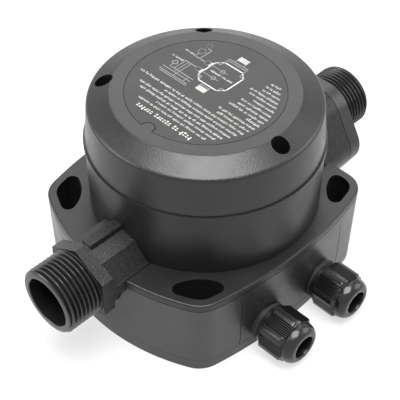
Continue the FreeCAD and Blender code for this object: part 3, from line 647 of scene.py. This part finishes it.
@dataclass
class GlandNut:
    """Hexagonal clamping nut of a cable gland, in millimetres from its back face outwards along -Y.

    Each flat carries a row of grip ribs between two smooth margins. The front is a dome with a mouth.
    """

    side: Side
    left_turn: float = 26.0
    right_turn: float = 44.0
    back_y: float = -64.5
    length: float = 19.0
    axis_z: float = 12.2
    flat_out: float = 10.95
    corner_r: float = 12.15
    grooves: int = 7
    groove_pitch: float = 1.0
    groove_width: float = 0.6
    groove_depth: float = 1.0
    groove_taper: float = 0.9
    groove_clear: Pair = (0.3, 0.25)
    corner_degrees: tuple[float, ...] = (28.0, 30.0, 32.0)
    back_r: float = 11.0
    back_step: float = 0.6
    grip_stops: tuple[float, ...] = (3.0, 6.0, 9.0, 11.5, 12.5, 12.9, 13.2, 13.7)
    margin_end: float = 12.2
    ribs_end: float = 13.5
    dome_start: float = 14.1
    dome_lip: float = 0.25
    dome_r: float = 10.7
    dome_steps: int = 18
    face_r: float = 7.4
    mouth_r: float = 5.9
    mouth_break: tuple[Pair, ...] = ((0.0, 0.4), (0.12, 0.12), (0.4, 0.0))
    thread_r: float = 8.6
    thread_depth: float = 13.1
    gate_degrees: float = 57.2
    gate_out: float = 12.0
    gate_y: float = -71.0
    gate_radii: Pair = (0.75, 0.6)
    gate_height: float = 0.5
    gate_sides: int = 14

    @property
    def turn(self) -> float:
        """Angle of the nut's first corner in degrees."""
        return self.left_turn if self.side is Side.LEFT else self.right_turn

    def flat(self) -> list[Pair]:
        """Section of one flat, from corner to corner.

        Returns:
            (distance along the flat, distance from the axis) in millimetres.
        """
        half = math.sqrt(self.corner_r ** 2 - self.flat_out ** 2)
        wide, floor = self.groove_width / 2, self.flat_out - self.groove_depth
        made = [(-half, self.flat_out)]
        for k in range(self.grooves):
            mid = (k - (self.grooves - 1) / 2) * self.groove_pitch
            made += [(mid - wide, self.flat_out), (mid - wide * self.groove_taper, floor),
                     (mid + wide * self.groove_taper, floor), (mid + wide, self.flat_out)]
        made.append((half, self.flat_out))
        return made

    def columns(self) -> list[tuple[float, float, float]]:
        """Columns of the nut, which run along its axis.

        Returns:
            (angle in radians, radius, distance at which the column's grip ends) for each column.
        """
        made = []
        ribbed = self.groove_pitch * self.grooves / 2
        for k in range(6):
            base = math.radians(self.turn + 30 + 60 * k)
            for along, out in self.flat():
                end = self.ribs_end if abs(along) <= ribbed else self.margin_end
                made.append((base + math.atan2(along, out), math.hypot(along, out), end))
            for degrees in self.corner_degrees:
                made.append((base + math.radians(degrees), self.corner_r, self.margin_end))
        return made

    def ring(self, along: float, radius: Callable[[float, float], float]) -> list[Point]:
        """Ring of points at a distance from the back face.

        Args:
            along: Distance from the back face.
            radius: Radius as a function of a column's radius and grip end.

        Returns:
            The points in metres.
        """
        points = []
        for angle, column_r, end in self.columns():
            r = radius(column_r, end)
            x = self.side.value + r * math.cos(angle)
            points.append((x * MM, (self.back_y - along) * MM, (self.axis_z + r * math.sin(angle)) * MM))
        return points

    def grip(self, along: float) -> list[Point]:
        """Ring on the grip, where each column slopes down to the dome once its end is reached.

        Args:
            along: Distance from the back face.

        Returns:
            The points in metres.
        """
        stop, stop_r = self.dome_start - self.dome_lip, self.dome_r - self.dome_lip

        def radius(r: float, end: float) -> float:
            """Radius of one column at this distance."""
            return r if along <= end else r + (stop_r - r) * min(1.0, (along - end) / (stop - end))

        return self.ring(along, radius)

    def in_groove(self, middle: Vector) -> bool:
        """Tells whether a face lies deep in one of the grip's grooves, where it takes painted shade.

        Args:
            middle: The face's middle in metres.

        Returns:
            True if it does.
        """
        reach = math.hypot(middle.x / MM - self.side.value, middle.z / MM - self.axis_z)
        along = self.back_y - middle.y / MM
        inner, outer = self.groove_clear
        deep = self.thread_r + inner < reach < self.flat_out - outer
        return deep and self.back_step < along < self.ribs_end

    def gate_mark(self, shape: Shape) -> None:
        """Adds the small round gate mark beside a corner.

        Args:
            shape: The bmesh that takes it.
        """
        angle = math.radians(self.turn + self.gate_degrees)
        middle = Vector((self.side.value + self.gate_out * math.cos(angle), self.gate_y,
                         self.axis_z + self.gate_out * math.sin(angle)))
        out = Vector((math.cos(angle), 0, math.sin(angle)))
        across = Vector((-math.sin(angle), 0, math.cos(angle)))
        turn = Matrix((across, Vector((0, 1, 0)), out)).transposed().to_4x4()
        place = Matrix.Scale(MM, 4) @ Matrix.Translation(middle) @ turn
        wide, narrow = self.gate_radii
        bmesh.ops.create_cone(shape, cap_ends=True, segments=self.gate_sides, radius1=wide, radius2=narrow,
                              depth=self.gate_height, matrix=place)

    def build(self) -> None:
        """Builds the nut as a closed piece in place of its node."""
        rows = [self.ring(0.0, lambda r, e: min(r, self.back_r)), self.ring(self.back_step, lambda r, e: r)]
        ends = (self.margin_end, self.ribs_end, self.dome_start - self.dome_lip)
        rows += [self.grip(along) for along in sorted(self.grip_stops + ends)]
        rows.append(self.ring(self.dome_start, lambda r, e: self.dome_r))
        round_rings = []
        for k in range(1, self.dome_steps + 1):
            t = math.radians(90 * k / self.dome_steps)
            round_rings.append((self.dome_start + (self.length - self.dome_start) * math.sin(t),
                                self.face_r + (self.dome_r - self.face_r) * math.cos(t)))
        round_rings += [(self.length - back, self.mouth_r + wide) for back, wide in self.mouth_break]
        round_rings += [(self.thread_depth, self.mouth_r), (self.thread_depth, self.thread_r),
                        (0.0, self.thread_r)]
        rows += [self.ring(along, lambda c, e, r=r: r) for along, r in round_rings]
        shape = lathe_grid(rows)
        if self.side is Side.RIGHT:
            self.gate_mark(shape)
        own = f"{self.side.name.lower()}_gland_nut"
        # Faces deep in the grip's grooves take painted shade.
        made = piece_from_bmesh(f"{own}_ribbed", shape, FINISHES.gland,
                                valleys=self.in_groove)
        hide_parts(own)


@dataclass
class LidPrint:
    """Print on the lid's label: greeked lines and a plain wiring sketch, in millimetres.

    A line of print is (x, first y, last y, height). The lines stack towards +X and run towards +Y. The sizes
    of letters are shares of the line's height, and places along them are shares of the step between letters.
    """

    z: float = 106.8
    proud: float = 0.02
    sunk: float = 0.05
    seed: int = 7
    step_share: float = 0.62
    letter_room: float = 0.8
    word_letters: tuple[int, int] = (2, 8)
    word_gap: float = 0.75
    base_line: float = 0.4
    x_height: float = 0.64
    ascender: float = 0.92
    descender: float = 0.2
    tall_above: float = 0.72
    stem_above: float = 0.5
    deep_below: float = 0.1
    edge_r: float = 37.0
    tongue_x: float = 36.4
    tongue_r: float = 3.35
    edge_width: float = 0.38
    nick: tuple[Pair, Pair] = ((-36.4, -3.4), (-33.6, -3.1))
    nick_width: float = 0.4
    rim_steps: int = 120
    tongue_steps: int = 24
    heading: Line = (-28.5, -18.4, 17.3, 2.7)
    lines: tuple[Line, ...] = (
        (-24.4, -23.3, 19.2, 1.35), (-21.5, -26.3, 10.2, 1.35), (-18.8, -28.0, 23.8, 1.45),
        (-16.0, -30.0, 27.0, 1.35), (-13.1, -31.3, 13.8, 1.35), (-10.3, -32.5, 32.2, 1.45),
        (-7.4, -33.2, -13.0, 1.35), (-4.6, -34.0, -12.3, 1.4), (-1.9, -34.2, -25.5, 1.8),
        (0.9, -34.2, -13.2, 1.4), (3.8, -34.0, -15.8, 1.4), (6.6, -33.3, -15.4, 1.35),
        (9.6, -32.4, -19.2, 1.35), (12.4, -31.4, -15.2, 1.35), (15.2, -29.8, -12.8, 1.4),
        (18.0, -28.4, -18.0, 1.35), (20.9, -26.2, -16.2, 1.35), (23.8, -23.8, -17.8, 1.35),
        (11.8, -5.0, 9.0, 1.35), (7.8, 22.3, 29.6, 1.2), (14.8, 22.2, 28.0, 1.2))

    def slab(self, shape: Shape, plan: tuple[Pair, ...]) -> None:
        """Adds one flat inked slab.

        Args:
            shape: The bmesh that takes it.
            plan: Its four corners.
        """
        low, high = (self.z - self.sunk) * MM, (self.z + self.proud) * MM
        under, over = ([shape.verts.new((x * MM, y * MM, level)) for x, y in plan] for level in (low, high))
        shape.faces.new(over)
        shape.faces.new(under[::-1])
        for k in range(4):
            after = (k + 1) % 4
            shape.faces.new((under[k], under[after], over[after], over[k]))

    def block(self, shape: Shape, x0: float, x1: float, y0: float, y1: float) -> None:
        """Adds a slab that lies square to the axes."""
        self.slab(shape, ((x0, y0), (x1, y0), (x1, y1), (x0, y1)))

    def greeked_line(self, shape: Shape, line: Line,
                     dice: random.Random) -> None:
        """Fills one line with word-like runs of small blocks.

        Args:
            shape: The bmesh that takes the blocks.
            line: Place, span and height of the line.
            dice: Seeded source of the words' lengths and the letters' shapes.
        """
        x, y, end, height = line
        step = height * self.step_share
        foot = x + height * self.base_line
        while y < end - step:
            word_end = min(end, y + step * dice.randint(*self.word_letters))
            while y + step * self.letter_room <= word_end:
                kind = dice.random()
                rise = height * (self.ascender if kind > self.tall_above else self.x_height)
                sink = height * (self.descender if kind < self.deep_below else 0.0)
                if kind > self.stem_above:
                    self.block(shape, foot - rise, foot + sink, y, y + step * 0.3)
                    self.block(shape, foot - height * self.x_height, foot - height * 0.44,
                               y + step * 0.3, y + step * 0.66)
                else:
                    self.block(shape, foot - rise, foot - rise * 0.66, y, y + step * 0.62)
                    self.block(shape, foot - rise * 0.3, foot + sink, y + step * 0.1, y + step * 0.66)
                y += step
            y += step * self.word_gap

    def stroke(self, shape: Shape, path: Iterable[Pair], width: float) -> None:
        """Adds a line drawn through (x, y) points, as one slab along each run.

        Args:
            shape: The bmesh that takes the line.
            path: The points of the line.
            width: The line's width.
        """
        points = list(path)
        for (ax, ay), (bx, by) in zip(points, points[1:]):
            run = math.hypot(bx - ax, by - ay)
            ux, uy = (bx - ax) / run * width / 2, (by - ay) / run * width / 2
            self.slab(shape, ((ax - ux - uy, ay - uy + ux), (bx + ux - uy, by + uy + ux),
                              (bx + ux + uy, by + uy - ux), (ax - ux + uy, ay - uy - ux)))

    @staticmethod
    def circle(x: float, y: float, r: float, sides: int = 14) -> list[Pair]:
        """Closed path round a circle."""
        turns = [2 * math.pi * k / sides for k in range(sides + 1)]
        return [(x + r * math.cos(a), y + r * math.sin(a)) for a in turns]

    def sketch(self, bold: Shape, thin: Shape) -> None:
        """Draws the plain wiring sketch: a box with cut corners, two fittings and simple circuits.

        Args:
            bold: The bmesh for the bright strokes.
            thin: The bmesh for the faint strokes.
        """
        box = [(2.9, -3.6), (2.9, 7.4), (6.0, 10.6), (17.4, 10.6), (20.5, 7.4), (20.5, -3.6), (17.4, -6.8),
               (6.0, -6.8), (2.9, -3.6)]
        self.stroke(bold, box, 0.62)
        for x, y in ((4.9, -4.9), (4.9, 8.7), (18.5, -4.9), (18.5, 8.7)):
            self.stroke(bold, self.circle(x, y, 0.85, 10), 0.36)
        for k in range(5):
            self.block(bold, -2.4 + 0.6 * k, -2.0 + 0.6 * k, -0.9, 4.5)
            self.block(bold, 26.0 + 0.64 * k, 26.42 + 0.64 * k, -0.6, 5.0)
        for y in (-0.8, 4.4):
            self.stroke(thin, [(0.6, y), (2.6, y)], 0.3)
            self.stroke(thin, [(24.2, y + 0.2), (26.0, y + 0.2)], 0.3)
        for x in (1.4, 22.7, 24.0):
            wide = 2.6 if x < 3 else 5.8
            self.stroke(thin, [(x, 2.0 - wide), (x, 2.0 + wide)], 0.35)
        for y in (-3.8, 7.8):
            self.stroke(thin, [(20.8, y), (24.0, y)], 0.3)
        for x in (8.4, 14.8):
            self.block(bold, x - 1.5, x + 1.5, 10.6, 11.7)
            self.stroke(thin, self.circle(x, 13.2, 1.5), 0.4)
            self.stroke(thin, self.circle(x, 3.5, 1.4, 4), 0.35)
            self.stroke(thin, [(x, 0.6), (x, 10.4)], 0.3)
        self.circuits(thin)

    def circuits(self, thin: Shape) -> None:
        """Draws the faint supply and pump circuits beside the box.

        Args:
            thin: The bmesh for the faint strokes.
        """
        for x, y0, y1 in ((-4.2, 8.8, 25.8), (-3.1, 9.4, 26.6), (-0.9, 9.4, 26.6), (1.0, 9.4, 24.0)):
            self.stroke(thin, [(x, y0), (x, y1)], 0.38)
        for y, x0 in ((11.8, -3.1), (18.0, -3.1), (19.7, -0.9), (21.5, 1.0)):
            self.stroke(thin, [(x0, y), (8.6 if y > 12 else 1.0, y)], 0.34)
        for path, width in (
                ([(8.8, 14.8), (8.8, 22.0)], 0.45), ([(1.0, 24.2), (2.6, 24.2)], 0.34),
                (self.circle(4.4, 24.2, 1.6, 4), 0.55), ([(14.4, 14.8), (14.4, 22.0)], 0.45),
                ([(14.4, 18.1), (22.6, 18.1), (22.6, 20.4)], 0.34), ([(14.4, 21.2), (17.2, 21.2)], 0.34),
                (self.circle(19.2, 21.2, 1.9), 0.45), (self.circle(24.4, 21.3, 1.4), 0.45)):
            self.stroke(thin, path, width)

    def outline(self) -> list[Pair]:
        """Path of the label's cut edge, which steps round the lid's thumb tongue.

        Returns:
            The points of the path.
        """
        squares = self.edge_r ** 2 + self.tongue_x ** 2 - self.tongue_r ** 2
        meet = math.acos(squares / (2 * self.edge_r * self.tongue_x))
        sweep = 2 * math.pi - 2 * meet
        rim = [math.pi + meet + sweep * k / self.rim_steps for k in range(self.rim_steps + 1)]
        path = [(self.edge_r * math.cos(a), self.edge_r * math.sin(a)) for a in rim]
        half = math.atan2(self.edge_r * math.sin(meet), self.tongue_x - self.edge_r * math.cos(meet))
        bow = [half - 2 * half * k / self.tongue_steps for k in range(self.tongue_steps + 1)]
        return path + [(self.tongue_r * math.cos(a) - self.tongue_x, self.tongue_r * math.sin(a))
                       for a in bow]

    def build(self) -> None:
        """Builds the bright print, the faint print and the painted shadow along the label's cut edge as three
        pieces on the label.
        """
        dice = random.Random(self.seed)
        bold, thin, edge = bmesh.new(), bmesh.new(), bmesh.new()
        # Painted shadow along the label's cut edge, with a short dark stroke beside the tongue in the same
        # finish.
        self.stroke(edge, self.outline(), self.edge_width)
        self.stroke(edge, self.nick, self.nick_width)
        piece_from_bmesh("label_cut_edge", edge, FINISHES.painted_shadow_edge)
        for line in (self.heading, *self.lines):
            self.greeked_line(bold, line, dice)
        self.sketch(bold, thin)
        piece_from_bmesh("label_print_bright", bold, FINISHES.ink)
        piece_from_bmesh("label_print_faint", thin, FINISHES.faint_ink)


@dataclass
class Housing:
    """The moulded case and its fixings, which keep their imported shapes."""

    finishes: dict[str, Finish] = field(default_factory=lambda: {
        "top_cap": FINISHES.lid, "upper_housing": FINISHES.housing, "base_housing": FINISHES.base,
        "bottom_cover": FINISHES.base, "label_disc": FINISHES.label, "cap_screws": FINISHES.dark_steel,
        "case_screws": FINISHES.zinc, "outlet_screws": FINISHES.zinc, "base_gasket": FINISHES.rubber,
        "cap_gasket": FINISHES.rubber, "outlet_seal": FINISHES.rubber})

    def build(self) -> None:
        """Dresses each node of the case."""
        for node, finish in self.finishes.items():
            dress(frame["nodes"][node], finish)
        LOG.info("housing: %d nodes dressed", len(self.finishes))


@dataclass
class CableGland:
    """One cable gland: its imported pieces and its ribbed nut."""

    side: Side

    def build(self) -> None:
        """Dresses the gland's nodes and builds its nut."""
        own = self.side.name.lower()
        for part in ("gland_body", "gland_locknut"):
            dress(frame["nodes"][f"{own}_{part}"], FINISHES.gland)
        for part in ("gland_seal", "gland_washer"):
            dress(frame["nodes"][f"{own}_{part}"], FINISHES.rubber)
        GlandNut(self.side).build()


@dataclass
class YieldingPart:
    """A spring or diaphragm, whose rigid node is replaced by a copy of its shape, in metres."""

    node: str
    joint: str
    axis: Point
    anchor: Point
    travel: float
    finish: Finish
    slot: str

    def build(self) -> None:
        """Copies the node's shape, which stands for the node."""
        mesh = frame["nodes"][self.node].data.copy()
        mesh.name = f"{self.node}_yielding"
        mesh.materials.clear()
        mesh.materials.append(self.finish.material())
        for face in mesh.polygons:
            face.material_index = 0
        made = add_object(mesh.name, mesh)
        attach(made, "housing")
        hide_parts(self.node)
        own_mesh(made)
        LOG.info("%s: yields to %s", mesh.name, self.joint)


@dataclass
class Mechanism:
    """Pressure stack, non-return valve and electronics, all inside the case."""

    finishes: dict[str, Finish] = field(default_factory=lambda: {
        "valve_cage": FINISHES.acetal, "valve_poppet": FINISHES.acetal, "poppet_seal": FINISHES.rubber,
        "poppet_magnet": FINISHES.ferrite, "pressure_plate": FINISHES.acetal, "stem_magnet": FINISHES.ferrite,
        "spring_bell": FINISHES.housing, "bell_screws": FINISHES.zinc, "sensor_board": FINISHES.board,
        "hall_sensor": FINISHES.chip, "circuit_board": FINISHES.board, "board_screws": FINISHES.zinc,
        "relay": FINISHES.relay, "film_capacitor": FINISHES.film, "transformer": FINISHES.winding,
        "terminal_block": FINISHES.terminal, "terminal_screws": FINISHES.zinc, "control_chip": FINISHES.chip,
        "fuse": FINISHES.glass, "varistor": FINISHES.varistor, "reed_switch": FINISHES.glass})

    yielding: tuple[YieldingPart, ...] = (
        YieldingPart("pressure_spring", "plate_slide", (0, 0, 1), (0, 0, 0.093), 0.008, FINISHES.wire,
                     "spring_steel"),
        YieldingPart("diaphragm", "plate_slide", (0, 0, 1), (0, 0, 0.0742), 0.008, FINISHES.diaphragm,
                     "diaphragm_rubber"),
        YieldingPart("poppet_spring", "valve_slide", (1, 0, 0), (0.068, 0, 0.0429), 0.007, FINISHES.wire,
                     "spring_steel"))

    def build(self) -> None:
        """Dresses each inner node and builds the parts that yield."""
        for node, finish in self.finishes.items():
            dress(frame["nodes"][node], finish)
        LOG.info("mechanism: %d nodes dressed", len(self.finishes))
        for part in self.yielding:
            part.build()


@dataclass
class Viewpoint:
    """The photograph's camera, solved from the part's known circles and edges."""

    azimuth: float = -45.951356
    elevation: float = 44.466242
    roll: float = 0.542028
    distance: float = 0.559099
    target: Point = (0.0, 0.0, 0.040)
    focal_px: float = 1136.165
    image_px: float = 400.0
    centre_px: Pair = (4.851, -4.429)
    sensor_mm: float = 36.0
    near_and_far: Pair = (0.01, 20.0)

    def build(self) -> None:
        """Makes the camera and sets it as the scene's own."""
        az, el, roll = (math.radians(v) for v in (self.azimuth, self.elevation, self.roll))
        back = Vector((math.sin(az) * math.cos(el), -math.cos(az) * math.cos(el), math.sin(el)))
        right = Vector((math.cos(az), math.sin(az), 0.0))
        up = back.cross(right)
        turned_right = right * math.cos(roll) + up * math.sin(roll)
        turned_up = up * math.cos(roll) - right * math.sin(roll)
        data = bpy.data.cameras.new("photo_camera")
        data.sensor_width = self.sensor_mm
        data.lens = self.focal_px / self.image_px * self.sensor_mm
        data.shift_x = -self.centre_px[0] / self.image_px
        data.shift_y = self.centre_px[1] / self.image_px
        data.clip_start, data.clip_end = self.near_and_far
        camera = add_object(data.name, data)
        turn = Matrix((turned_right, turned_up, back)).transposed().to_4x4()
        camera.matrix_world = Matrix.Translation(Vector(self.target) + back * self.distance) @ turn
        bpy.context.scene.camera = camera


@dataclass
class Lamp:
    """One square soft lamp that faces the object, in metres and watts."""

    name: str
    place: Point
    size: float
    watts: float
    aim: Point = (0.0, 0.0, 0.04)

    def build(self) -> None:
        """Hangs the lamp."""
        data = bpy.data.lights.new(self.name, "AREA")
        data.shape = "SQUARE"
        data.size = self.size
        data.energy = self.watts
        lamp = add_object(self.name, data)
        lamp.location = self.place
        facing = Vector(self.aim) - Vector(self.place)
        lamp.rotation_euler = facing.to_track_quat("-Z", "Y").to_euler()


@dataclass
class Studio:
    """Pale floor, soft lamps and a world that is white where it is seen and dim as light."""

    floor_size: float = 6.0
    floor_tone: float = 0.8
    floor_tone_swing: float = 0.01
    floor_roughness: float = 0.9
    floor_specular: float = 0.1
    floor_noise: float = 3.0
    floor_glow: float = 0.65
    shadow_reach: float = 0.6
    ambient: float = 0.1
    lamps: tuple[Lamp, ...] = (
        Lamp("top_softbox", (-0.14, -0.14, 1.25), 0.95, 30.0),
        Lamp("rear_softbox", (0.78, 0.75, 1.08), 1.2, 9.0),
        Lamp("left_softbox", (-1.0, 0.9, 0.75), 1.0, 14.0),
        Lamp("right_softbox", (1.1, -0.75, 0.75), 1.0, 10.0))

    @staticmethod
    def seen_rays(tree: Tree) -> Socket:
        """Adds nodes that are 1 for rays by which the background is seen, straight or in gloss and glass.

        Args:
            tree: The nodes that they are added to.

        Returns:
            The socket with the result.
        """
        rays = tree.nodes.new("ShaderNodeLightPath").outputs
        direct = add_node(tree, "Math", {0: rays["Is Camera Ray"], 1: rays["Is Glossy Ray"]},
                          operation="MAXIMUM")
        return add_node(tree, "Math", {0: direct, 1: rays["Is Transmission Ray"]},
                        operation="MAXIMUM")

    def world(self) -> None:
        """Sets the world: white where it is seen, a dim grey as light."""
        world = bpy.data.worlds.new("studio_world")
        bpy.context.scene.world = world
        world.use_nodes = True
        tree = world.node_tree
        tree.nodes.clear()
        out = tree.nodes.new("ShaderNodeOutputWorld")
        dim = add_node(tree, "Background", {"Color": WHITE, "Strength": self.ambient})
        white = add_node(tree, "Background", {"Color": WHITE, "Strength": 1.0})
        mix = add_node(tree, "MixShader", {"Fac": self.seen_rays(tree), 1: dim, 2: white})
        feed(tree, out, {"Surface": mix})

    def floor(self) -> None:
        """Lays the pale floor, which keeps the object's shadow and turns white away from it."""
        mesh = bpy.data.meshes.new("floor")
        half = self.floor_size / 2
        mesh.from_pydata([(-half, -half, 0), (half, -half, 0), (half, half, 0), (-half, half, 0)], [],
                         [(0, 1, 2, 3)])
        floor = add_object("floor", mesh)
        material = bpy.data.materials.new("studio_floor")
        material.use_nodes = True
        tree = material.node_tree
        shader = tree.nodes["Principled BSDF"]
        place = add_node(tree, "TexCoord", {}, "Object")
        noise = add_node(tree, "TexNoise", {"Scale": self.floor_noise, "Vector": place}, "Fac")
        low, high = self.floor_tone, self.floor_tone + self.floor_tone_swing
        tone = add_ramp(tree, noise, (low,) * 3, (high,) * 3, (0.0, 1.0))
        feed(tree, shader, {"Roughness": self.floor_roughness, "Specular IOR Level": self.floor_specular,
                            "Base Color": tone})
        away = add_node(tree, "VectorMath", {0: place}, "Value", "LENGTH")
        spread = add_node(tree, "MapRange", {
            "From Min": self.shadow_reach / 2, "From Max": self.shadow_reach, "To Min": self.floor_glow,
            "Value": away}, "Result")
        share = add_node(tree, "Math", {0: self.seen_rays(tree), 1: spread}, operation="MULTIPLY")
        glow = add_node(tree, "Emission", {"Strength": 1.0})
        mix = add_node(tree, "MixShader", {"Fac": share, 1: shader.outputs[0], 2: glow})
        feed(tree, tree.nodes["Material Output"], {"Surface": mix})
        mesh.materials.append(material)

    def build(self) -> None:
        """Builds the whole studio."""
        self.world()
        self.floor()
        for lamp in self.lamps:
            lamp.build()
        bpy.context.scene.view_settings.view_transform = "Standard"


def main() -> None:
    """Builds the dressed pressure switch, its studio and its camera."""
    logging.basicConfig(level=logging.INFO, format="%(name)s %(message)s")
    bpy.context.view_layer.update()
    Viewpoint().build()
    Studio().build()
    Housing().build()
    FlowLine().build()
    for side in Side:
        CableGland(side).build()
    LidPrint().build()
    Mechanism().build()


if __name__ == "__main__":
    main()
